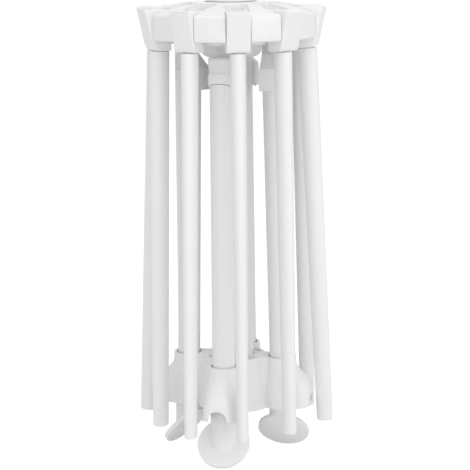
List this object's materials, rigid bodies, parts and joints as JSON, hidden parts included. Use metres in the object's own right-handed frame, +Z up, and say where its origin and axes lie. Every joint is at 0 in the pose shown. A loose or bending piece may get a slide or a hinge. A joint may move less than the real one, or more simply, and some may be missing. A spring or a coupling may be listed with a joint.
{
  "type": "folding pasta drying rack",
  "caption": "Folded rack for drying fresh pasta: tapered arms hinged round a slotted hub, over a post and a cross-shaped spreader whose boots guide sliding legs with slanted pads.",
  "frame": {"origin": "on the worktop, under the middle of the hub", "axes": "+Z up the post, +X towards the right-hand leg, -Y towards the front leg"},
  "size_m": [0.1068, 0.0974, 0.2434],
  "materials": {
    "white_plastic": "satin",
    "steel": "drawn wire"
  },
  "bodies": {
    "column": {"hub": "white_plastic", "hub_cap": "white_plastic", "pin_retainer": "white_plastic", "hub_screw": "steel", "post": "white_plastic", "spreader": "white_plastic", "spreader_screw": "steel", "arm_pin_01": "steel", "arm_pin_02": "steel", "arm_pin_03": "steel", "arm_pin_04": "steel", "arm_pin_05": "steel", "arm_pin_06": "steel", "arm_pin_07": "steel", "arm_pin_08": "steel", "arm_pin_09": "steel", "arm_pin_10": "steel"},
    "arm_01": {"arm_head_01": "white_plastic", "arm_rod_01": "white_plastic"},
    "arm_02": {"arm_head_02": "white_plastic", "arm_rod_02": "white_plastic"},
    "arm_03": {"arm_head_03": "white_plastic", "arm_rod_03": "white_plastic"},
    "arm_04": {"arm_head_04": "white_plastic", "arm_rod_04": "white_plastic"},
    "arm_05": {"arm_head_05": "white_plastic", "arm_rod_05": "white_plastic"},
    "arm_06": {"arm_head_06": "white_plastic", "arm_rod_06": "white_plastic"},
    "arm_07": {"arm_head_07": "white_plastic", "arm_rod_07": "white_plastic"},
    "arm_08": {"arm_head_08": "white_plastic", "arm_rod_08": "white_plastic"},
    "arm_09": {"arm_head_09": "white_plastic", "arm_rod_09": "white_plastic"},
    "arm_10": {"arm_head_10": "white_plastic", "arm_rod_10": "white_plastic"},
    "leg_right": {"leg_tube_right": "white_plastic", "leg_head_right": "white_plastic", "foot_right": "white_plastic"},
    "leg_rear": {"leg_tube_rear": "white_plastic", "leg_head_rear": "white_plastic", "foot_rear": "white_plastic"},
    "leg_left": {"leg_tube_left": "white_plastic", "leg_head_left": "white_plastic", "foot_left": "white_plastic"},
    "leg_front": {"leg_tube_front": "white_plastic", "leg_head_front": "white_plastic", "foot_front": "white_plastic"}
  },
  "joints": [
    {"name": "arm_01_hinge", "type": "hinge", "parent": "column", "child": "arm_01", "pos_m": [0.028, 0, 0.231], "axis": [0, -1, 0], "range_deg": [0, 87.36]},
    {"name": "arm_02_hinge", "type": "hinge", "parent": "column", "child": "arm_02", "pos_m": [0.02265, 0.01646, 0.231], "axis": [0.5878, -0.809, 0], "range_deg": [0, 89]},
    {"name": "arm_03_hinge", "type": "hinge", "parent": "column", "child": "arm_03", "pos_m": [0.00865, 0.02663, 0.231], "axis": [0.9511, -0.309, 0], "range_deg": [0, 88.54]},
    {"name": "arm_04_hinge", "type": "hinge", "parent": "column", "child": "arm_04", "pos_m": [-0.00865, 0.02663, 0.231], "axis": [0.9511, 0.309, 0], "range_deg": [0, 88.54]},
    {"name": "arm_05_hinge", "type": "hinge", "parent": "column", "child": "arm_05", "pos_m": [-0.02265, 0.01646, 0.231], "axis": [0.5878, 0.809, 0], "range_deg": [0, 89]},
    {"name": "arm_06_hinge", "type": "hinge", "parent": "column", "child": "arm_06", "pos_m": [-0.028, 0, 0.231], "axis": [0, 1, 0], "range_deg": [0, 87.36]},
    {"name": "arm_07_hinge", "type": "hinge", "parent": "column", "child": "arm_07", "pos_m": [-0.02265, -0.01646, 0.231], "axis": [-0.5878, 0.809, 0], "range_deg": [0, 89]},
    {"name": "arm_08_hinge", "type": "hinge", "parent": "column", "child": "arm_08", "pos_m": [-0.00865, -0.02663, 0.231], "axis": [-0.9511, 0.309, 0], "range_deg": [0, 88.54]},
    {"name": "arm_09_hinge", "type": "hinge", "parent": "column", "child": "arm_09", "pos_m": [0.00865, -0.02663, 0.231], "axis": [-0.9511, -0.309, 0], "range_deg": [0, 88.54]},
    {"name": "arm_10_hinge", "type": "hinge", "parent": "column", "child": "arm_10", "pos_m": [0.02265, -0.01646, 0.231], "axis": [-0.5878, -0.809, 0], "range_deg": [0, 89]},
    {"name": "leg_right_slide", "type": "slide", "parent": "column", "child": "leg_right", "axis": [0.0201, 0, -0.9998], "range_m": [0, 0.1414]},
    {"name": "leg_rear_slide", "type": "slide", "parent": "column", "child": "leg_rear", "axis": [0, 0.0201, -0.9998], "range_m": [0, 0.1414]},
    {"name": "leg_left_slide", "type": "slide", "parent": "column", "child": "leg_left", "axis": [-0.0201, 0, -0.9998], "range_m": [0, 0.1414]},
    {"name": "leg_front_slide", "type": "slide", "parent": "column", "child": "leg_front", "axis": [0, -0.0201, -0.9998], "range_m": [0, 0.1414]}
  ]
}
